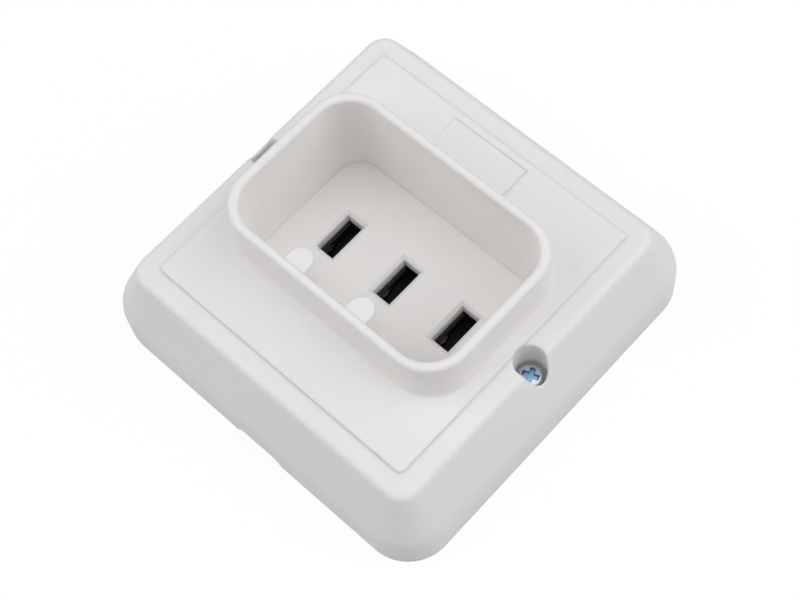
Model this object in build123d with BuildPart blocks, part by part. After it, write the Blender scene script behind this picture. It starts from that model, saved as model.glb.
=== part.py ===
from build123d import *
import os

# Surface-mounted cooker socket: a square housing with sloped sides, a collar round a deep
# rectangular well, and three flat contacts in a row under the floor of the well.
# X runs along the row of slots, Y up the wall and Z out of the wall. The origin is the centre
# of the back face. Lengths are in millimetres, angles in degrees.

# Housing, outside
base_half = 42.5
base_corner = 9.6
skirt_height = 8.1
side_slope = 25.3
border_height = 20.5
panel_height = 21.1
panel_half = 32.45
panel_corner = 1.2
panel_edge_round = 0.2
panel_root = 20.0
skirt_round = 7.0
ridge_round = 1.8

# Housing, inside
side_wall = 2.2
front_wall = 2.5
cover_rib = 1.4
cover_rib_bottom = 10.8
cover_rib_spacing = 23.8
core_top = panel_height - front_wall
core_half = base_half - side_wall
core_corner = base_corner - side_wall

# Collar and well: half sizes along X and Y, and corner radii
collar_top = 32.0
collar_foot = (29.45, 19.45)
collar_lip = (29.25, 19.25)
collar_corner = 9.0
collar_foot_round = 0.5
lip_round = 0.85
well_mouth = (27.25, 17.4)
well_mouth_corner = 7.6
well_base = (26.55, 16.6)
well_base_corner = 5.8
well_floor = 8.3
well_under = 5.0
well_wall = 2.05

# Contact slots in the floor of the well
pole_pitch = 15.9
slot_width = 4.5
slot_length = 9.45
slot_bevel = 0.8

# Coding ribs on the lower wall of the well
rib_radius = 2.6
rib_centre_y = -15.6
rib_top = 31.3

# Recess for a label on the raised panel
label_size = (19.2, 8.4)
label_centre = (-1.2, 26.5)
label_depth = 0.25

# Cover screws and what they pass through
cover_screw_x = 35.4
cover_screw_y = 0.3
recess_radius = 3.3
recess_floor = 11.8
recess_rim_round = 0.3
recess_tube_radius = 4.9
recess_tube_bottom = 9.6
cover_screw_radius = 1.75
cover_screw_tip = 3.0
cover_head_radius = 2.7
cover_head_height = 2.2
cover_hole_radius = 2.1
retainer_thickness = 0.8
retainer_radius = 3.0
pillar_radius = 4.4
pillar_top = 8.7
pillar_hole_radius = 2.0
nut_size = 6.0
nut_thickness = 2.3
nut_bottom = 4.5
nut_play = 0.1

# Pry notch in the lower edge and thin spot for a cable in the upper edge
notch_centre = 1.2
notch_height = 2.0
notch_top_width = 9.4
notch_bottom_width = 12.2
knockout_width = 14.0
knockout_height = 8.0
knockout_corner = 3.0
knockout_skin = 0.9

# Rear base
plate_half = 39.9
plate_corner = 7.2
plate_thickness = 2.0
pocket_floor = 1.0
rim_thickness = 1.4
rim_height = 6.0
wall_fixing_spacing = 60.0
wall_fixing_width = 4.5
wall_fixing_length = 8.0
fixing_pad = (14.0, 10.0)
fixing_pad_height = 0.8
window_size = (34.0, 6.4)
window_centre_y = 34.8

# Insulating sheet and contact carrier
sheet_top = 1.3
carrier_half = (26.0, 19.5)
carrier_corner = 4.0
carrier_top = 4.9
carrier_play = 0.3
deck_half_x = 21.6
deck_end = 30.2
deck_height = 8.0
barrier_height = 12.5
ear_radius = 4.2
ear_places = ((-14.0, -23.3), (14.0, -23.3))
deck_screw_y = 25.4
chamber_half = 3.4
chamber_ends = (-5.4, 7.0)
chamber_top = 3.5
throat_width = 3.3
throat_bevel = 0.3
channel_half = 2.9
channel_end = 21.8
channel_top = 3.4
compartment_half = 4.2
compartment_start = 20.4
compartment_floor = 2.0

# Carrier screws and the bosses that take them
boss_radius = 2.5
boss_top = 6.0
boss_play = 0.3
carrier_screw_radius = 1.5
carrier_screw_tip = 1.8
carrier_head_radius = 2.6
carrier_head_height = 2.0
carrier_hole_radius = 1.7
thread_play = 0.05

# Fork contacts, their springs, the bars and the rivets
jaw_bottom = 1.4
jaw_height = 1.9
jaw_thickness = 0.6
jaw_half = 2.5
jaw_bridge_y = 5.7
jaw_tip = (2.3, -4.7)
jaw_pinch = (1.45, -2.4)
jaw_shoulder_y = 1.5
jaw_bend = 1.0
foot_half = 2.4
foot_end = 12.2
foot_thickness = 0.6
spring_bottom = 2.1
spring_height = 1.1
spring_thickness = 0.35
spring_half = 3.05
spring_bridge_y = 6.45
spring_tip = (2.05, -2.5)
spring_shoulder_y = 1.0
spring_bend = 0.8
bar_half_width = 2.6
bar_thickness = 1.0
bar_start = 7.2
bar_level = 2.5
bar_riser_y = 21.1
tongue_level = 7.7
tongue_end = 29.0
bar_bend = 1.2
rivet_y = 10.0
rivet_radius = 1.1
rivet_head_radius = 1.8
rivet_head_height = 0.35
rivet_play = 0.02

# Clamp cages and terminal screws
cage_half = 3.9
cage_bottom = 2.3
cage_top = 11.9
cage_inner_half = 2.8
cage_inner_bottom = 3.4
cage_inner_top = 10.3
cage_corner = 0.8
cage_start = 22.6
cage_end = 29.2
cage_hole_radius = 1.95
terminal_screw_y = 25.9
terminal_screw_radius = 1.9
terminal_head_radius = 3.2
terminal_head_height = 2.4
terminal_head_seat = 12.4

# Pan heads: shares of the head's radius, and of its height for the round and the drive's depth
head_round_share = 0.45
drive_slot_share = (2.2, 0.3)
drive_cross_share = (0.36, 1.1)
drive_depth_share = 0.55

poles = {"line": -pole_pitch, "earth": 0.0, "neutral": pole_pitch}
cover_screw_places = ((-cover_screw_x, cover_screw_y), (cover_screw_x, cover_screw_y))
nut_mouths = tuple((x * (1 - pillar_radius / cover_screw_x), y) for x, y in cover_screw_places)
carrier_screw_places = ear_places + ((-pole_pitch / 2, deck_screw_y), (pole_pitch / 2, deck_screw_y))
terminal_screw_places = tuple((x, terminal_screw_y) for x in poles.values())

os.makedirs("parts", exist_ok=True)


def rounded(half_sizes, corner):
    """A rounded rectangle given by its half sizes, in the open sketch."""
    RectangleRounded(2 * half_sizes[0], 2 * half_sizes[1], corner)


def at_height(shape, height):
    """The edges of a shape that lie level at one height."""
    return shape.edges().filter_by_position(Axis.Z, height - 0.001, height + 0.001)


def pan_screw(seat, tip, shank_radius, head_radius, head_height):
    """A pan-head screw on the Z axis that points down, with a combined slot and cross recess."""
    with BuildPart() as screw:
        with BuildSketch(Plane.XY.offset(tip)):
            Circle(shank_radius)
        extrude(amount=seat - tip)
        with BuildSketch(Plane.XY.offset(seat)):
            Circle(head_radius)
        extrude(amount=head_height)
        fillet(screw.edges().sort_by(Axis.Z)[-1], head_round_share * head_height)
        with BuildSketch(Plane.XY.offset(seat + head_height)):
            Rectangle(drive_slot_share[0] * head_radius, drive_slot_share[1] * head_radius)
            Rectangle(drive_cross_share[0] * head_radius, drive_cross_share[1] * head_radius)
        extrude(amount=-drive_depth_share * head_height, mode=Mode.SUBTRACT)
    return screw.part


def save(piece, name):
    """Label a finished piece and write it."""
    piece.part.label = name
    export_step(piece.part, "parts/" + name + ".step")


# Hollow behind the cover: the space inside its walls, less the well, the tubes round the
# screw recesses and the stiffening ribs
with BuildPart() as cover_hollow:
    with BuildSketch():
        rounded((core_half, core_half), core_corner)
    extrude(amount=skirt_height)
    with BuildSketch(Plane.XY.offset(skirt_height)):
        rounded((core_half, core_half), core_corner)
    extrude(amount=core_top - skirt_height, taper=side_slope)
    with BuildSketch(Plane.XY.offset(well_under)):
        rounded((well_base[0] + well_wall, well_base[1] + well_wall), well_base_corner + well_wall)
    with BuildSketch(Plane.XY.offset(panel_height)):
        rounded(collar_foot, collar_corner)
    loft(mode=Mode.SUBTRACT)
    with BuildSketch(Plane.XY.offset(recess_tube_bottom)):
        with Locations(*cover_screw_places):
            Circle(recess_tube_radius)
    extrude(amount=panel_height, mode=Mode.SUBTRACT)
    with BuildSketch(Plane.XY.offset(cover_rib_bottom)):
        with GridLocations(2 * core_half, cover_rib_spacing, 2, 2):
            Rectangle(2 * (core_half - well_base[0]), cover_rib)
        with Locations((-pole_pitch, -core_half), (pole_pitch, -core_half)):
            Rectangle(cover_rib, 2 * (core_half - well_base[1]))
    extrude(amount=panel_height, mode=Mode.SUBTRACT)

# Front cover
with BuildPart() as front_cover:
    with BuildSketch():
        rounded((base_half, base_half), base_corner)
    extrude(amount=skirt_height)
    with BuildSketch(Plane.XY.offset(skirt_height)):
        rounded((base_half, base_half), base_corner)
    extrude(amount=border_height - skirt_height, taper=side_slope)
    fillet(at_height(front_cover, skirt_height), skirt_round)
    fillet(at_height(front_cover, border_height), ridge_round)

    # Screw recesses, cut down through the side and the border, with rounded rims
    with BuildSketch(Plane.XY.offset(recess_floor)):
        with Locations(*cover_screw_places):
            Circle(recess_radius)
    extrude(amount=panel_height, mode=Mode.SUBTRACT)
    recess_edges = front_cover.edges(Select.LAST).filter_by(Axis.Z, reverse=True)
    fillet(recess_edges.filter_by(lambda edge: edge.center().Z > recess_floor + recess_radius), recess_rim_round)

    # Raised panel with its step, cut away above the screw recesses
    with BuildSketch(Plane.XY.offset(panel_root)):
        rounded((panel_half, panel_half), panel_corner)
        with Locations(*cover_screw_places):
            Circle(recess_radius, mode=Mode.SUBTRACT)
    extrude(amount=panel_height - panel_root)
    fillet(at_height(front_cover, panel_height), panel_edge_round)

    # Collar
    with BuildSketch(Plane.XY.offset(panel_height)):
        rounded(collar_foot, collar_corner)
    with BuildSketch(Plane.XY.offset(collar_top)):
        rounded(collar_lip, collar_corner)
    loft()
    collar_foot_edges = at_height(front_cover, panel_height).filter_by(
        lambda edge: abs(edge.center().X) < collar_foot[0] + 0.1 and abs(edge.center().Y) < collar_foot[1] + 0.1
    )
    fillet(collar_foot_edges, collar_foot_round)

    # Hollow, then the well with its rounded lip
    add(cover_hollow.part, mode=Mode.SUBTRACT)
    with BuildSketch(Plane.XY.offset(well_floor)):
        rounded(well_base, well_base_corner)
    with BuildSketch(Plane.XY.offset(collar_top)):
        rounded(well_mouth, well_mouth_corner)
    loft(mode=Mode.SUBTRACT)
    fillet(at_height(front_cover, collar_top), lip_round)

    # Coding ribs
    with BuildSketch(Plane.XY.offset(well_floor)):
        with Locations((-pole_pitch / 2, rib_centre_y), (pole_pitch / 2, rib_centre_y)):
            Circle(rib_radius)
            Rectangle(2 * rib_radius, well_mouth[1] + rib_centre_y + lip_round, align=(Align.CENTER, Align.MAX))
    extrude(amount=rib_top - well_floor)

    # Contact slots with a lead-in bevel
    with BuildSketch(Plane.XY.offset(well_under)):
        with GridLocations(pole_pitch, 0, 3, 1):
            Rectangle(slot_width, slot_length)
    extrude(amount=well_floor - well_under, mode=Mode.SUBTRACT)
    slot_rims = at_height(front_cover, well_floor).filter_by(
        lambda edge: abs(edge.center().X) < 1.5 * pole_pitch and abs(edge.center().Y) < slot_length
    )
    chamfer(slot_rims, slot_bevel)

    # Holes for the cover screws in the floors of their recesses
    with BuildSketch(Plane.XY.offset(recess_tube_bottom)):
        with Locations(*cover_screw_places):
            Circle(cover_hole_radius)
    extrude(amount=recess_floor - recess_tube_bottom, mode=Mode.SUBTRACT)

    # Bare recess for a label
    with BuildSketch(Plane.XY.offset(panel_height)):
        with Locations(label_centre):
            Rectangle(*label_size)
    extrude(amount=-label_depth, mode=Mode.SUBTRACT)

    # Pry notch through the lower skirt
    with BuildSketch(Plane.XZ.offset(base_half)):
        with BuildLine():
            Polyline(
                (notch_centre - notch_bottom_width / 2, 0),
                (notch_centre - notch_top_width / 2, notch_height),
                (notch_centre + notch_top_width / 2, notch_height),
                (notch_centre + notch_bottom_width / 2, 0),
                close=True,
            )
        make_face()
    extrude(amount=-2 * side_wall, mode=Mode.SUBTRACT)

    # Thin spot for a cable, cut from inside in the upper skirt
    with BuildSketch(Plane.XZ.offset(knockout_skin - base_half)) as knockout:
        with Locations((0, knockout_height / 2)):
            Rectangle(knockout_width, knockout_height)
        fillet(knockout.vertices().group_by(Axis.Z)[-1], knockout_corner)
    extrude(amount=side_wall, mode=Mode.SUBTRACT)
save(front_cover, "front_cover")


def carrier_outline(play):
    """The carrier seen from the front, grown by a play, in the open sketch."""
    rounded((carrier_half[0] + play, carrier_half[1] + play), carrier_corner)
    with Locations((0, carrier_half[1])):
        Rectangle(2 * (deck_half_x + play), deck_end - carrier_half[1] + play, align=(Align.CENTER, Align.MIN))
    with Locations(*ear_places):
        Circle(ear_radius + play)
        Rectangle(2 * (ear_radius + play), ear_radius + play, align=(Align.CENTER, Align.MIN))


# Rear base: plate, perimeter wall, pillars for the cover screws and bosses for the carrier
with BuildPart() as rear_base:
    with BuildSketch():
        rounded((plate_half, plate_half), plate_corner)
    extrude(amount=plate_thickness)
    with BuildSketch(Plane.XY.offset(plate_thickness)):
        rounded((plate_half, plate_half), plate_corner)
        offset(amount=-rim_thickness, mode=Mode.SUBTRACT)
        with Locations((0, plate_half)):
            Rectangle(knockout_width + 2 * rim_thickness, 4 * rim_thickness, mode=Mode.SUBTRACT)
    extrude(amount=rim_height - plate_thickness)
    with BuildSketch(Plane.XY.offset(plate_thickness)):
        with GridLocations(wall_fixing_spacing, wall_fixing_spacing, 2, 2):
            RectangleRounded(*fixing_pad, wall_fixing_width / 2)
    extrude(amount=fixing_pad_height)
    with BuildSketch():
        with Locations(*cover_screw_places):
            Circle(pillar_radius)
    extrude(amount=pillar_top)

    # Pocket for the carrier, and the bosses that stand in it
    with BuildSketch(Plane.XY.offset(pocket_floor)):
        carrier_outline(carrier_play)
    extrude(amount=plate_thickness - pocket_floor, mode=Mode.SUBTRACT)
    with BuildSketch(Plane.XY.offset(pocket_floor)):
        with Locations(*carrier_screw_places):
            Circle(boss_radius)
    extrude(amount=boss_top - pocket_floor)
    with BuildSketch(Plane.XY.offset(carrier_screw_tip - thread_play)):
        with Locations(*carrier_screw_places):
            Circle(carrier_screw_radius + thread_play)
    extrude(amount=boss_top, mode=Mode.SUBTRACT)

    # Screw holes and nut pockets in the pillars
    with BuildSketch(Plane.XY.offset(plate_thickness)):
        with Locations(*cover_screw_places):
            Circle(pillar_hole_radius)
    extrude(amount=pillar_top, mode=Mode.SUBTRACT)
    with BuildSketch(Plane.XY.offset(nut_bottom - nut_play)):
        with Locations(*cover_screw_places):
            Rectangle(nut_size + 2 * nut_play, nut_size + 2 * nut_play)
        with Locations(*nut_mouths):
            Rectangle(nut_size, nut_size + 2 * nut_play)
    extrude(amount=nut_thickness + 2 * nut_play, mode=Mode.SUBTRACT)

    # Wall-fixing slots and the window for the supply wires
    with BuildSketch():
        with GridLocations(wall_fixing_spacing, wall_fixing_spacing, 2, 2):
            SlotOverall(wall_fixing_length, wall_fixing_width)
        with Locations((0, window_centre_y)):
            SlotOverall(*window_size)
    extrude(amount=rim_height, mode=Mode.SUBTRACT)
save(rear_base, "rear_base")

# Insulating sheet under the contacts, with holes where the bosses pass through
with BuildPart() as insulating_sheet:
    with BuildSketch(Plane.XY.offset(pocket_floor)):
        carrier_outline(0)
        with Locations(*carrier_screw_places):
            Circle(boss_radius + boss_play, mode=Mode.SUBTRACT)
    extrude(amount=sheet_top - pocket_floor)
save(insulating_sheet, "insulating_sheet")

# Contact carrier: slab under the well, ears below it and the terminal deck above it
with BuildPart() as contact_carrier:
    with BuildSketch(Plane.XY.offset(sheet_top)):
        rounded(carrier_half, carrier_corner)
    extrude(amount=carrier_top - sheet_top)
    with BuildSketch(Plane.XY.offset(sheet_top)):
        with Locations((0, carrier_half[1])):
            Rectangle(2 * deck_half_x, deck_end - carrier_half[1], align=(Align.CENTER, Align.MIN))
    extrude(amount=barrier_height - sheet_top)
    with BuildSketch(Plane.XY.offset(sheet_top)):
        with Locations(*ear_places):
            Circle(ear_radius)
            with Locations((0, ear_radius)):
                Rectangle(2 * ear_radius, ear_radius, align=(Align.CENTER, Align.MAX))
    extrude(amount=deck_height - sheet_top)

    # Terminal compartments, open upwards and to the front
    with BuildSketch(Plane.XY.offset(compartment_floor)):
        with Locations((-pole_pitch, compartment_start), (0, compartment_start), (pole_pitch, compartment_start)):
            Rectangle(2 * compartment_half, deck_end, align=(Align.CENTER, Align.MIN))
    extrude(amount=barrier_height, mode=Mode.SUBTRACT)

    # Contact chambers, channels for the bars and throats for the plug's blades
    with BuildSketch(Plane.XY.offset(sheet_top)):
        with GridLocations(pole_pitch, 0, 3, 1):
            with Locations((0, chamber_ends[0])):
                Rectangle(2 * chamber_half, chamber_ends[1] - chamber_ends[0], align=(Align.CENTER, Align.MIN))
    extrude(amount=chamber_top - sheet_top, mode=Mode.SUBTRACT)
    with BuildSketch(Plane.XY.offset(sheet_top)):
        with GridLocations(pole_pitch, 0, 3, 1):
            Rectangle(2 * channel_half, channel_end, align=(Align.CENTER, Align.MIN))
    extrude(amount=channel_top - sheet_top, mode=Mode.SUBTRACT)
    with BuildSketch(Plane.XY.offset(sheet_top)):
        with GridLocations(pole_pitch, 0, 3, 1):
            Rectangle(throat_width, slot_length)
    extrude(amount=carrier_top - sheet_top, mode=Mode.SUBTRACT)
    throat_rims = at_height(contact_carrier, carrier_top).filter_by(
        lambda edge: abs(edge.center().X) < 1.5 * pole_pitch and abs(edge.center().Y) < slot_length
    )
    chamfer(throat_rims, throat_bevel)

    # Screw places: a socket for the boss below, a hole, and a well for the head above
    with BuildSketch(Plane.XY.offset(sheet_top)):
        with Locations(*carrier_screw_places):
            Circle(boss_radius + boss_play)
    extrude(amount=boss_top - sheet_top, mode=Mode.SUBTRACT)
    with BuildSketch(Plane.XY.offset(boss_top)):
        with Locations(*carrier_screw_places):
            Circle(carrier_hole_radius)
    extrude(amount=barrier_height, mode=Mode.SUBTRACT)
    with BuildSketch(Plane.XY.offset(deck_height)):
        with Locations(*carrier_screw_places):
            Circle(carrier_head_radius + boss_play)
    extrude(amount=barrier_height, mode=Mode.SUBTRACT)
save(contact_carrier, "contact_carrier")

# Contact set, once for each pole
for pole, pole_x in poles.items():
    # Fork contact: a strip on edge, bent to a fork that opens downwards, with a foot
    with BuildPart() as contact_jaw:
        with BuildSketch(Plane.XY.offset(jaw_bottom)):
            with BuildLine():
                FilletPolyline(
                    (pole_x - jaw_tip[0], jaw_tip[1]),
                    (pole_x - jaw_pinch[0], jaw_pinch[1]),
                    (pole_x - jaw_half, jaw_shoulder_y),
                    (pole_x - jaw_half, jaw_bridge_y),
                    (pole_x + jaw_half, jaw_bridge_y),
                    (pole_x + jaw_half, jaw_shoulder_y),
                    (pole_x + jaw_pinch[0], jaw_pinch[1]),
                    (pole_x + jaw_tip[0], jaw_tip[1]),
                    radius=jaw_bend,
                )
            trace(line_width=jaw_thickness)
        extrude(amount=jaw_height)
        with BuildSketch(Plane.XY.offset(jaw_bottom)):
            with Locations((pole_x, jaw_bridge_y)):
                Rectangle(2 * foot_half, foot_end - jaw_bridge_y, align=(Align.CENTER, Align.MIN))
            with Locations((pole_x, rivet_y)):
                Circle(rivet_radius + rivet_play, mode=Mode.SUBTRACT)
        extrude(amount=foot_thickness)
    save(contact_jaw, "contact_jaw_" + pole)

    # Spring clip round the fork
    with BuildPart() as jaw_spring:
        with BuildSketch(Plane.XY.offset(spring_bottom)):
            with BuildLine():
                FilletPolyline(
                    (pole_x - spring_tip[0], spring_tip[1]),
                    (pole_x - spring_half, spring_shoulder_y),
                    (pole_x - spring_half, spring_bridge_y),
                    (pole_x + spring_half, spring_bridge_y),
                    (pole_x + spring_half, spring_shoulder_y),
                    (pole_x + spring_tip[0], spring_tip[1]),
                    radius=spring_bend,
                )
            trace(line_width=spring_thickness)
        extrude(amount=spring_height)
    save(jaw_spring, "jaw_spring_" + pole)

    # Bar from the fork's foot up to the terminal
    with BuildPart() as busbar:
        with BuildSketch(Plane.YZ.offset(pole_x)):
            with BuildLine():
                FilletPolyline(
                    (bar_start, bar_level),
                    (bar_riser_y, bar_level),
                    (bar_riser_y, tongue_level),
                    (tongue_end, tongue_level),
                    radius=bar_bend,
                )
            trace(line_width=bar_thickness)
        extrude(amount=bar_half_width, both=True)
        with BuildSketch(Plane.XY.offset(jaw_bottom)):
            with Locations((pole_x, rivet_y)):
                Circle(rivet_radius + rivet_play)
        extrude(amount=bar_level, mode=Mode.SUBTRACT)
    save(busbar, "busbar_" + pole)

    # Clamp cage: a square loop round the bar's tongue, with a threaded hole in its top wall
    with BuildPart() as terminal_cage:
        with BuildSketch(Plane.XZ.offset(-cage_start)):
            with Locations((pole_x, cage_bottom)):
                Rectangle(2 * cage_half, cage_top - cage_bottom, align=(Align.CENTER, Align.MIN))
            with Locations((pole_x, cage_inner_bottom)):
                Rectangle(
                    2 * cage_inner_half,
                    cage_inner_top - cage_inner_bottom,
                    align=(Align.CENTER, Align.MIN),
                    mode=Mode.SUBTRACT,
                )
        extrude(amount=cage_start - cage_end)
        long_edges = terminal_cage.edges().filter_by(Axis.Y)
        fillet(long_edges.filter_by(lambda edge: abs(edge.center().X - pole_x) > cage_inner_half + 0.1), cage_corner)
        with BuildSketch(Plane.XY.offset(cage_inner_top)):
            with Locations((pole_x, terminal_screw_y)):
                Circle(cage_hole_radius)
        extrude(amount=cage_top - cage_inner_top, mode=Mode.SUBTRACT)
    save(terminal_cage, "terminal_cage_" + pole)

# Rivets that join the forks to the bars
with BuildPart() as contact_rivets:
    for pole_x in poles.values():
        with BuildSketch(Plane.XY.offset(jaw_bottom)):
            with Locations((pole_x, rivet_y)):
                Circle(rivet_radius)
        extrude(amount=bar_level + bar_thickness / 2 - jaw_bottom)
        with BuildSketch(Plane.XY.offset(bar_level + bar_thickness / 2)):
            with Locations((pole_x, rivet_y)):
                Circle(rivet_head_radius)
        extrude(amount=rivet_head_height)
save(contact_rivets, "contact_rivets")

# Screws, nuts and retaining rings
terminal_screw = pan_screw(
    terminal_head_seat,
    tongue_level + bar_thickness / 2,
    terminal_screw_radius,
    terminal_head_radius,
    terminal_head_height,
)
with BuildPart() as terminal_screws:
    with Locations(*terminal_screw_places):
        add(terminal_screw)
save(terminal_screws, "terminal_screws")

carrier_screw = pan_screw(
    deck_height, carrier_screw_tip, carrier_screw_radius, carrier_head_radius, carrier_head_height
)
with BuildPart() as carrier_screws:
    with Locations(*carrier_screw_places):
        add(carrier_screw)
save(carrier_screws, "carrier_screws")

cover_screw = pan_screw(
    recess_floor, cover_screw_tip, cover_screw_radius, cover_head_radius, cover_head_height
)
with BuildPart() as cover_screws:
    with Locations(*cover_screw_places):
        add(cover_screw)
save(cover_screws, "cover_screws")

with BuildPart() as cover_nuts:
    with BuildSketch(Plane.XY.offset(nut_bottom)):
        with Locations(*cover_screw_places):
            Rectangle(nut_size, nut_size)
            Circle(cover_screw_radius + thread_play, mode=Mode.SUBTRACT)
    extrude(amount=nut_thickness)
save(cover_nuts, "cover_nuts")

with BuildPart() as screw_retainers:
    with BuildSketch(Plane.XY.offset(pillar_top)):
        with Locations(*cover_screw_places):
            Circle(retainer_radius)
            Circle(cover_screw_radius + thread_play, mode=Mode.SUBTRACT)
    extrude(amount=retainer_thickness)
save(screw_retainers, "screw_retainers")
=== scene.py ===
import math

import bmesh
import bpy
from mathutils import Matrix, Vector


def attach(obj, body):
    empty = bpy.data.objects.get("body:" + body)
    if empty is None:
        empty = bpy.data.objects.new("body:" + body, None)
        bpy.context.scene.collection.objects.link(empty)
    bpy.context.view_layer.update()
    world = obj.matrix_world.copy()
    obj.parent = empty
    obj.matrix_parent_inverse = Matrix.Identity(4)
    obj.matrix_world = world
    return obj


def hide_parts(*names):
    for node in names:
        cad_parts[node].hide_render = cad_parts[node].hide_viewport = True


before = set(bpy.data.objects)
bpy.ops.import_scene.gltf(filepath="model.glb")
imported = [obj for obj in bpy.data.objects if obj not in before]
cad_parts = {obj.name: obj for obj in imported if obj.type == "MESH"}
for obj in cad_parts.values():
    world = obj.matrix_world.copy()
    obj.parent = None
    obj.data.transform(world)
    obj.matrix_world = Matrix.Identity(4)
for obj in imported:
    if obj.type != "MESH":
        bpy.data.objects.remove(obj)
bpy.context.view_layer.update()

MM = 0.001

# The photograph's camera: angles in degrees round the origin, and shifts within its own picture
CAMERA_AZIMUTH = 52.32
CAMERA_ELEVATION = 64.21
CAMERA_ROLL = -10.53
CAMERA_DISTANCE = 353.2 * MM
CAMERA_SHIFT_RIGHT = 0.01 * MM
CAMERA_SHIFT_UP = -0.42 * MM
CAMERA_LENS_MM = 77.2
CAMERA_SENSOR_MM = 36.0
CAMERA_NEAR = 10 * MM

# Light of one cool colour: a sky, and soft boxes by azimuth, elevation, distance, size and watts
LIGHT_COLOUR = (0.945, 0.958, 1.0)
SKY_STRENGTH = 0.25
SOFT_BOXES = {
    "light_above": (0.0, 90.0, 1.2, 1.0, 3.2),
    "light_right": (135.0, 40.0, 1.2, 1.2, 6.1),
    "light_left": (315.0, 40.0, 1.2, 1.2, 6.0),
    "light_front": (90.0, 35.0, 1.2, 1.2, 2.0),
}

# Floor: its tone for the light that falls on it, and the glowing white that the camera sees
FLOOR_SIZE = 4.0
FLOOR_DROP = 0.05 * MM
FLOOR_TONE = (0.62, 0.62, 0.62)
FLOOR_WHITE = (0.95, 0.95, 0.95)
FLOOR_GLOW = 1.03
FLOOR_GLOW_SHARE = 0.86

# Painted shade along the edge of the cover's raised panel, where its step shades the plastic: where it fades
# in, is full and ends
PANEL_HALF_SIDE = 32.45 * MM
PANEL_EDGE_SHADE_FADE_IN = 0.6 * MM
PANEL_EDGE_SHADE_FULL = 0.1 * MM
PANEL_EDGE_SHADE_END = 0.7 * MM
PANEL_EDGE_SHADE_TINT = 0.93

# Places in a Mix node of the sockets that it uses for colours
MIX_FACTOR = 0
MIX_FIRST = 6
MIX_SECOND = 7
MIX_RESULT = 2
BEVEL_SAMPLES = 6

# Drawn metals: bright and dull colour, roughness from and to, and drawing lines in a metre
DRAWN_METALS = {
    # The contacts' bronze is darkened almost to black as painted shade, for contacts that sit deep in their
    # slots
    "shade_darkened_bronze": ((0.12, 0.085, 0.07), (0.07, 0.055, 0.05), 0.2, 0.32, 2500.0),
    "brass": ((0.78, 0.6, 0.3), (0.7, 0.53, 0.26), 0.25, 0.4, 2500.0),
    "spring_steel": ((0.5, 0.5, 0.52), (0.4, 0.4, 0.42), 0.2, 0.3, 3000.0),
    "plated_steel": ((0.66, 0.66, 0.64), (0.56, 0.57, 0.56), 0.25, 0.4, 2000.0),
}
LINES_ALONG_Y = (1.0, 0.08, 1.0)

# The metal of each CAD node
METAL_NODES = {
    "contact_jaw_line": "shade_darkened_bronze",
    "contact_jaw_earth": "shade_darkened_bronze",
    "contact_jaw_neutral": "shade_darkened_bronze",
    "busbar_line": "brass",
    "busbar_earth": "brass",
    "busbar_neutral": "brass",
    "contact_rivets": "brass",
    "jaw_spring_line": "spring_steel",
    "jaw_spring_earth": "spring_steel",
    "jaw_spring_neutral": "spring_steel",
    "terminal_cage_line": "plated_steel",
    "terminal_cage_earth": "plated_steel",
    "terminal_cage_neutral": "plated_steel",
    "terminal_screws": "plated_steel",
    "carrier_screws": "plated_steel",
    "cover_nuts": "plated_steel",
    "cover_screws": "blue_zinc",
}

# Cover screws in millimetres: x, y and the drive's turn in degrees, then the sizes of shank and head
SCREW_PLACES = ((-35.4, 0.3, 62.0), (35.4, 0.3, 19.0))
SCREW_RING_POINTS = 60
SCREW_TIP = 3.0
SCREW_SEAT = 11.8
SCREW_RADIUS = 1.74
THREAD_PITCH = 0.7
THREAD_DEPTH = 0.32
THREAD_RUNOUT = 0.5
THREAD_RINGS_PER_TURN = 6
HEAD_RADIUS = 2.68
HEAD_CHAMFER = 0.12
HEAD_TOP = 13.98
HEAD_DOME = 0.25
HEAD_SHOULDER = 0.95
HEAD_SHOULDER_RINGS = 8
DOME_RADIUS = HEAD_RADIUS - HEAD_SHOULDER
DOME_RING_SHARES = (0.75, 0.5, 0.25)
SHARP_EDGE_DEGREES = 32.0

# The drive's cross from its bottom up: depth below the head's top, half length and half width of an arm
DRIVE_LEVELS = ((1.15, 1.38, 0.46), (0.28, 1.74, 0.56), (-0.1, 2.05, 0.88))

# The drive's painted light: where it ends from the axis, and where below the dome its painted highlight at
# the edge and its blue, darkened as painted shade, begin
DRIVE_REACH = (1.98, 2.03)
HIGHLIGHT_EDGE_DEPTHS = (0.04, 0.08)
BLUE_SHADE_DEPTHS = (0.25, 0.35)


def direction(azimuth, elevation):
    """A unit vector from the object towards a place round it, both angles in degrees."""
    around = math.radians(azimuth)
    up = math.radians(elevation)
    return Vector((math.sin(around) * math.cos(up), -math.cos(around) * math.cos(up), math.sin(up)))


def add_camera():
    """The camera of the photograph."""
    back = direction(CAMERA_AZIMUTH, CAMERA_ELEVATION)
    level_right = (-back).cross(Vector((0, 0, 1))).normalized()
    level_up = level_right.cross(-back)
    roll = math.radians(CAMERA_ROLL)
    right = math.cos(roll) * level_right + math.sin(roll) * level_up
    up = math.cos(roll) * level_up - math.sin(roll) * level_right
    place = back * CAMERA_DISTANCE + right * CAMERA_SHIFT_RIGHT + up * CAMERA_SHIFT_UP
    data = bpy.data.cameras.new("camera")
    data.lens = CAMERA_LENS_MM
    data.sensor_width = CAMERA_SENSOR_MM
    data.clip_start = CAMERA_NEAR
    camera = bpy.data.objects.new("camera", data)
    bpy.context.scene.collection.objects.link(camera)
    camera.matrix_world = Matrix.Translation(place) @ Matrix((right, up, back)).transposed().to_4x4()
    bpy.context.scene.camera = camera


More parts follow.
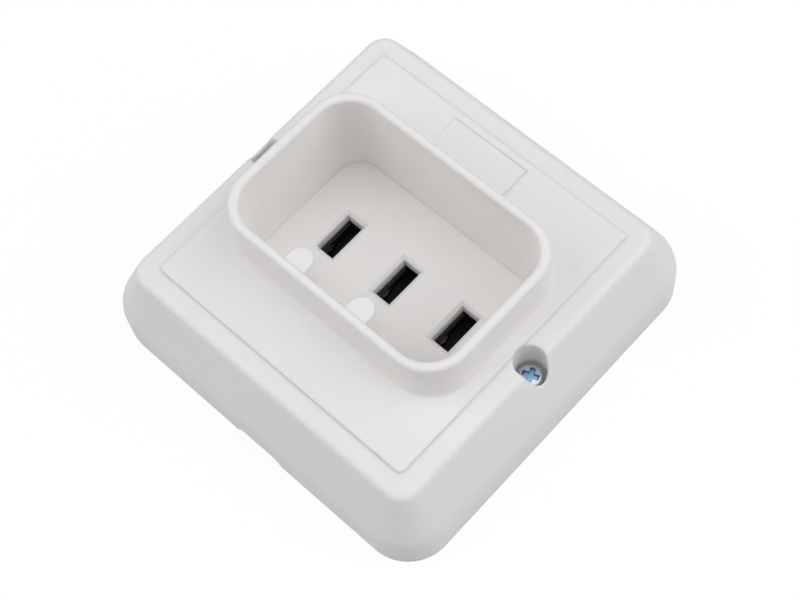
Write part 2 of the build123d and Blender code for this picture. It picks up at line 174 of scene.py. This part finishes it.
class Shader:
    """The nodes of a material or of the world, which are added one by one."""

    def __init__(self, owner, output="OutputMaterial"):
        owner.use_nodes = True
        self.owner = owner
        self.tree = owner.node_tree
        self.tree.nodes.clear()
        self.output = self.add(output)

    def add(self, kind, inputs=None, **settings):
        """A new node; each input, given by name or place, is linked to a socket or set to a value."""
        node = self.tree.nodes.new("ShaderNode" + kind)
        for key, value in settings.items():
            setattr(node, key, value)
        for key, value in (inputs or {}).items():
            if isinstance(value, bpy.types.NodeSocket):
                self.tree.links.new(value, node.inputs[key])
            else:
                node.inputs[key].default_value = value
        return node

    def position(self):
        """Object coordinates, in metres."""
        return self.add("TexCoord").outputs["Object"]

    def parts(self):
        """Object coordinates as outputs X, Y and Z."""
        return self.add("SeparateXYZ", {"Vector": self.position()}).outputs

    def noise(self, per_metre, detail, vector=None):
        """Noise from 0 to 1 with so many features in a metre."""
        inputs = {"Vector": vector or self.position(), "Scale": per_metre, "Detail": detail}
        return self.add("TexNoise", inputs).outputs["Fac"]

    def span(self, value, low, high, source_low=0.3, source_high=0.7):
        """A value carried from its own range, the middle of a noise unless given, to another."""
        inputs = {"From Min": source_low, "From Max": source_high, "To Min": low, "To Max": high}
        return self.add("MapRange", {"Value": value, **inputs}).outputs["Result"]

    def compute(self, operation, *values):
        """One step of arithmetic."""
        return self.add("Math", dict(enumerate(values)), operation=operation).outputs["Value"]

    def blend(self, factor, first, second):
        """Two colours mixed by a factor, each a socket or three shares."""
        inputs = {MIX_FACTOR: factor}
        for key, colour in ((MIX_FIRST, first), (MIX_SECOND, second)):
            linked = isinstance(colour, bpy.types.NodeSocket)
            inputs[key] = colour if linked else (*colour, 1.0)
        return self.add("Mix", inputs, data_type="RGBA").outputs[MIX_RESULT]

    def bump(self, height, strength, depth, normal=None):
        """A bump from a height, with its depth in metres."""
        inputs = {"Height": height, "Strength": strength, "Distance": depth}
        if normal is not None:
            inputs["Normal"] = normal
        return self.add("Bump", inputs).outputs["Normal"]

    def camera_share(self):
        """1 for rays from the camera and for reflections, 0 for all other rays."""
        path = self.add("LightPath").outputs
        mirrored = self.compute("MAXIMUM", path["Is Glossy Ray"], path["Is Transmission Ray"])
        return self.compute("MAXIMUM", path["Is Camera Ray"], mirrored)

    def show(self, shading):
        """Link the finished shading to the output, and give back the material or the world."""
        self.tree.links.new(shading, self.output.inputs["Surface"])
        return self.owner

    def principled(self, **inputs):
        """Finish with Blender's main shading; an underscore stands for a space in an input's name."""
        named = {key.replace("_", " "): value for key, value in inputs.items()}
        return self.show(self.add("BsdfPrincipled", named).outputs["BSDF"])


def new_shader(name):
    """The nodes of a new material."""
    return Shader(bpy.data.materials.new(name))


def painted_panel_edge_shade(shader):
    """1 along the edge of the raised panel, where shade from the step is painted into the colour, and 0
    elsewhere.
    """
    place = shader.parts()
    across = shader.compute("ABSOLUTE", place["X"])
    along = shader.compute("ABSOLUTE", place["Y"])
    outward = shader.compute("MAXIMUM", across, along)
    fade_out = shader.span(outward, 1.0, 0.0, PANEL_HALF_SIDE + PANEL_EDGE_SHADE_FULL, PANEL_HALF_SIDE + PANEL_EDGE_SHADE_END)
    fade_in = shader.span(outward, 0.0, 1.0, PANEL_HALF_SIDE - PANEL_EDGE_SHADE_FADE_IN, PANEL_HALF_SIDE)
    return shader.compute("MULTIPLY", fade_out, fade_in)


def white_plastic(name, light, dark, gloss, grain, edge_round, shade_tint=None):
    """Moulded white plastic: faint flow tones, uneven gloss, a fine even grain and softened edges, with
    painted shade along the panel's edge when a shade tint is given.
    """
    shader = new_shader(name)
    flow = shader.noise(35.0, detail=3.0)
    sheen = shader.noise(160.0, detail=4.0)
    colour = shader.blend(shader.span(flow, 0.0, 1.0), light, dark)
    # Painted shade: a darker line along the edge of the raised panel
    if shade_tint is not None:
        shaded_colour = tuple(shade_tint * share for share in light)
        colour = shader.blend(painted_panel_edge_shade(shader), colour, shaded_colour)
    soft_edges = shader.add("Bevel", {"Radius": edge_round}, samples=BEVEL_SAMPLES).outputs["Normal"]
    waves = shader.bump(shader.noise(60.0, detail=1.0), 0.05, 0.4 * MM, soft_edges)
    return shader.principled(
        Base_Color=colour,
        Roughness=shader.span(sheen, *gloss),
        Normal=shader.bump(shader.noise(2600.0, detail=1.0), grain, 0.03 * MM, waves),
        IOR=1.49,
        Subsurface_Weight=0.6,
        Subsurface_Radius=(1.0, 0.8, 0.65),
        Subsurface_Scale=2.0 * MM,
    )


def black_thermoset():
    """Pressed black thermoset: glossy, with faint mottling."""
    shader = new_shader("black_thermoset")
    mottle = shader.noise(700.0, detail=3.0)
    return shader.principled(
        Base_Color=shader.blend(shader.span(mottle, 0.0, 1.0), (0.012, 0.013, 0.02), (0.018, 0.019, 0.028)),
        Roughness=shader.span(mottle, 0.14, 0.24),
        Normal=shader.bump(mottle, 0.1, 0.05 * MM),
        IOR=1.4,
    )


def matt_sheet():
    """Fibre sheet: matt black with a fine tooth."""
    shader = new_shader("matt_sheet")
    tooth = shader.noise(1800.0, detail=3.0)
    return shader.principled(
        Base_Color=shader.blend(tooth, (0.007, 0.007, 0.009), (0.014, 0.014, 0.016)),
        Roughness=shader.span(tooth, 0.7, 0.85),
        Specular_IOR_Level=0.15,
        Normal=shader.bump(tooth, 0.3, 0.05 * MM),
    )


def nylon():
    """Natural nylon: milky and waxy."""
    shader = new_shader("nylon")
    cloud = shader.noise(400.0, detail=2.0)
    return shader.principled(
        Base_Color=shader.blend(cloud, (0.6, 0.59, 0.54), (0.68, 0.67, 0.62)),
        Roughness=shader.span(cloud, 0.4, 0.5),
        Normal=shader.bump(cloud, 0.1, 0.03 * MM),
    )


def drawn_metal(name, bright, dull, gloss_low, gloss_high, lines_per_metre):
    """Bare or plated metal, with drawing lines along Y and a cloudy tone."""
    shader = new_shader(name)
    place = shader.position()
    stretched = shader.add("Mapping", {"Vector": place, "Scale": LINES_ALONG_Y}).outputs["Vector"]
    lines = shader.noise(lines_per_metre, detail=3.0, vector=stretched)
    cloud = shader.noise(300.0, detail=3.0)
    return shader.principled(
        Base_Color=shader.blend(shader.span(cloud, 0.0, 1.0), bright, dull),
        Metallic=1.0,
        Roughness=shader.span(lines, gloss_low, gloss_high),
        Normal=shader.bump(lines, 0.15, 0.02 * MM),
    )


def drive_masks(shader):
    """Two values that are 1 in the drive of either cover screw: below its edge, where a highlight is
    painted, and deeper, where its blue is darkened as painted shade.
    """
    place = shader.parts()
    either_side = shader.compute("ABSOLUTE", place["X"])
    across = shader.add("CombineXYZ", {"X": either_side, "Y": place["Y"]}).outputs["Vector"]
    axis = (abs(SCREW_PLACES[0][0]) * MM, SCREW_PLACES[0][1] * MM, 0.0)
    reach = shader.add("VectorMath", {0: across, 1: axis}, operation="DISTANCE").outputs["Value"]
    fall = -HEAD_DOME / DOME_RADIUS ** 2 / MM
    dome = shader.compute("MULTIPLY_ADD", shader.compute("MULTIPLY", reach, reach), fall, HEAD_TOP * MM)
    depth = shader.compute("SUBTRACT", dome, place["Z"])
    within = shader.span(reach, 1.0, 0.0, *(value * MM for value in DRIVE_REACH))
    edge = shader.span(depth, 0.0, 1.0, *(value * MM for value in HIGHLIGHT_EDGE_DEPTHS))
    blue_shade = shader.span(depth, 0.0, 1.0, *(value * MM for value in BLUE_SHADE_DEPTHS))
    return shader.compute("MULTIPLY", within, edge), shader.compute("MULTIPLY", within, blue_shade)


def blue_zinc():
    """Zinc plating with a smoother edge round the drive of a screw, lightened as a painted highlight, and
    its blue in the drive, darker as painted shade.
    """
    shader = new_shader("blue_zinc")
    cloud = shader.noise(900.0, detail=3.0)
    grit = shader.noise(3500.0, detail=2.0)
    edge, blue_shade = drive_masks(shader)
    plate = shader.blend(shader.span(cloud, 0.0, 1.0), (0.6, 0.63, 0.66), (0.5, 0.53, 0.57))
    # Painted highlight: the drive's edge lightened almost to white
    highlighted = shader.blend(edge, plate, (0.94, 0.95, 0.97))
    return shader.principled(
        # Painted shade: deeper in the drive, a darker blue over the zinc's own blue
        Base_Color=shader.blend(blue_shade, highlighted, (0.2, 0.35, 0.5)),
        Metallic=1.0,
        Roughness=shader.span(edge, shader.span(grit, 0.46, 0.58), 0.3, 0.0, 1.0),
        Normal=shader.bump(grit, 0.12, 0.02 * MM),
    )


def dress(node, material):
    """Give a CAD node its material."""
    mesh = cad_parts[node].data
    mesh.materials.clear()
    mesh.materials.append(material)


def dress_nodes():
    """Materials for all the CAD nodes; gives back the metals by name."""
    cover = white_plastic(
        "cover_plastic",
        light=(0.885, 0.862, 0.835),
        dark=(0.875, 0.852, 0.824),
        gloss=(0.5, 0.58),
        grain=0.12,
        edge_round=0.55 * MM,
        shade_tint=PANEL_EDGE_SHADE_TINT,
    )
    base = white_plastic(
        "base_plastic",
        light=(0.86, 0.855, 0.82),
        dark=(0.84, 0.835, 0.8),
        gloss=(0.45, 0.55),
        grain=0.3,
        edge_round=0.2 * MM,
    )
    dress("front_cover", cover)
    dress("rear_base", base)
    dress("contact_carrier", black_thermoset())
    dress("insulating_sheet", matt_sheet())
    dress("screw_retainers", nylon())
    metals = {name: drawn_metal(name, *values) for name, values in DRAWN_METALS.items()}
    metals["blue_zinc"] = blue_zinc()
    for node, name in METAL_NODES.items():
        dress(node, metals[name])
    return metals


def thread_radius(height, turn):
    """Radius of the thread at a height, and at a part of a turn from 0 to 1."""
    phase = (height / THREAD_PITCH - turn) % 1.0
    crest = abs(2 * phase - 1)
    start = min(1.0, (height - SCREW_TIP) / THREAD_RUNOUT)
    end = min(1.0, (SCREW_SEAT - height) / THREAD_RUNOUT)
    return SCREW_RADIUS - THREAD_DEPTH * (1 - crest * min(start, end))


def screw_rings():
    """The screw's outline as rings from the tip up: each is a height and a radius for any part of a turn."""
    step = THREAD_PITCH / THREAD_RINGS_PER_TURN
    count = int((SCREW_SEAT - SCREW_TIP) / step)
    rings = []
    for i in range(count + 1):
        height = SCREW_TIP + (SCREW_SEAT - SCREW_TIP) * i / count
        rings.append((height, lambda turn, height=height: thread_radius(height, turn)))
    rings.append((SCREW_SEAT, lambda turn: HEAD_RADIUS - HEAD_CHAMFER))
    rings.append((SCREW_SEAT + HEAD_CHAMFER, lambda turn: HEAD_RADIUS))
    rim = HEAD_TOP - HEAD_DOME - HEAD_SHOULDER
    for i in range(HEAD_SHOULDER_RINGS + 1):
        angle = math.pi / 2 * i / HEAD_SHOULDER_RINGS
        height = rim + HEAD_SHOULDER * math.sin(angle)
        radius = HEAD_RADIUS - HEAD_SHOULDER * (1 - math.cos(angle))
        rings.append((height, lambda turn, radius=radius: radius))
    for share in DOME_RING_SHARES:
        height = HEAD_TOP - HEAD_DOME * share ** 2
        rings.append((height, lambda turn, share=share: DOME_RADIUS * share))
    return rings


def skin(rings, name):
    """A closed mesh over rings of points, in millimetres, as an object in metres."""
    surface = bmesh.new()
    loops = [[surface.verts.new(Vector(point) * MM) for point in ring] for ring in rings]
    count = len(loops[0])
    for low, high in zip(loops, loops[1:]):
        for this in range(count):
            following = (this + 1) % count
            surface.faces.new((low[this], low[following], high[following], high[this]))
    surface.faces.new(list(reversed(loops[0])))
    surface.faces.new(loops[-1])
    mesh = bpy.data.meshes.new(name)
    surface.to_mesh(mesh)
    surface.free()
    shape = bpy.data.objects.new(name, mesh)
    bpy.context.scene.collection.objects.link(shape)
    return shape


def turned(point, place):
    """A point of a screw, turned and moved to its place."""
    x, y, height = point
    axis_x, axis_y, degrees = place
    cosine = math.cos(math.radians(degrees))
    sine = math.sin(math.radians(degrees))
    return (axis_x + x * cosine - y * sine, axis_y + x * sine + y * cosine, height)


def screw_blank(place):
    """Threaded shank and domed pan head, without the drive."""
    rings = []
    for height, radius_at in screw_rings():
        ring = []
        for i in range(SCREW_RING_POINTS):
            turn = i / SCREW_RING_POINTS
            angle = 2 * math.pi * turn
            radius = radius_at(turn)
            ring.append(turned((radius * math.cos(angle), radius * math.sin(angle), height), place))
        rings.append(ring)
    return skin(rings, "screw_blank")


def drive_cutter(place):
    """The cross-shaped hole of the drive, narrower towards its bottom."""
    rings = []
    for depth, length, width in DRIVE_LEVELS:
        arm = [(length, -width), (length, width), (width, width)]
        ring = []
        for _ in range(4):
            ring += [turned((x, y, HEAD_TOP - depth), place) for x, y in arm]
            arm = [(-y, x) for x, y in arm]
        rings.append(ring)
    return skin(rings, "drive_cutter")


def cut_away(blank, cutter):
    """The mesh of a blank without the cutter's volume; both objects are used up."""
    cut = blank.modifiers.new("drive", "BOOLEAN")
    cut.operation = "DIFFERENCE"
    cut.solver = "EXACT"
    cut.object = cutter
    graph = bpy.context.evaluated_depsgraph_get()
    result = bpy.data.meshes.new_from_object(blank.evaluated_get(graph))
    for scrap in (blank, cutter):
        data = scrap.data
        bpy.data.objects.remove(scrap)
        bpy.data.meshes.remove(data)
    return result


def add_cover_screws(material):
    """Both cover screws as one piece, each with a cut drive."""
    joined = bmesh.new()
    for place in SCREW_PLACES:
        screw = cut_away(screw_blank(place), drive_cutter(place))
        joined.from_mesh(screw)
        bpy.data.meshes.remove(screw)
    mesh = bpy.data.meshes.new("cover_screws_cut")
    joined.to_mesh(mesh)
    joined.free()
    mesh.shade_smooth()
    mesh.set_sharp_from_angle(angle=math.radians(SHARP_EDGE_DEGREES))
    mesh.materials.append(material)
    screws = bpy.data.objects.new("cover_screws_cut", mesh)
    bpy.context.scene.collection.objects.link(screws)
    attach(screws, "root")
    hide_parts("cover_screws")


def floor_material():
    """A grey tone for the light on it, and glowing white for the camera and for reflections."""
    shader = new_shader("floor")
    tone = shader.add("BsdfDiffuse", {"Color": (*FLOOR_TONE, 1.0)}).outputs["BSDF"]
    paper = shader.add("BsdfDiffuse", {"Color": (*FLOOR_WHITE, 1.0)}).outputs["BSDF"]
    glow = shader.add("Emission", {"Strength": FLOOR_GLOW}).outputs["Emission"]
    white = shader.add("MixShader", {0: FLOOR_GLOW_SHARE, 1: paper, 2: glow}).outputs["Shader"]
    both = shader.add("MixShader", {0: shader.camera_share(), 1: tone, 2: white})
    return shader.show(both.outputs["Shader"])


def add_floor():
    """A plain white floor under the object."""
    half = FLOOR_SIZE / 2
    corners = [(x, y, -FLOOR_DROP) for x, y in ((-half, -half), (half, -half), (half, half), (-half, half))]
    mesh = bpy.data.meshes.new("floor")
    mesh.from_pydata(corners, [], [(0, 1, 2, 3)])
    mesh.materials.append(floor_material())
    floor = bpy.data.objects.new("floor", mesh)
    bpy.context.scene.collection.objects.link(floor)


def add_sky():
    """A soft even sky that shows as white."""
    shader = Shader(bpy.data.worlds.new("sky"), "OutputWorld")
    light = shader.add("Background", {"Color": (*LIGHT_COLOUR, 1.0), "Strength": SKY_STRENGTH})
    white = shader.add("Background", {"Color": (1.0, 1.0, 1.0, 1.0), "Strength": 1.0})
    inputs = {0: shader.camera_share(), 1: light.outputs["Background"], 2: white.outputs["Background"]}
    bpy.context.scene.world = shader.show(shader.add("MixShader", inputs).outputs["Shader"])


def add_soft_boxes():
    """Large soft area lights aimed at the object."""
    for name, (azimuth, elevation, distance, size, power) in SOFT_BOXES.items():
        data = bpy.data.lights.new(name, "AREA")
        data.shape = "SQUARE"
        data.size = size
        data.energy = power
        data.color = LIGHT_COLOUR
        box = bpy.data.objects.new(name, data)
        bpy.context.scene.collection.objects.link(box)
        towards = direction(azimuth, elevation)
        box.location = towards * distance
        box.rotation_euler = towards.to_track_quat("Z", "Y").to_euler()


add_camera()
metals = dress_nodes()
add_cover_screws(metals["blue_zinc"])
add_floor()
add_sky()
add_soft_boxes()
bpy.context.scene.view_settings.view_transform = "Standard"
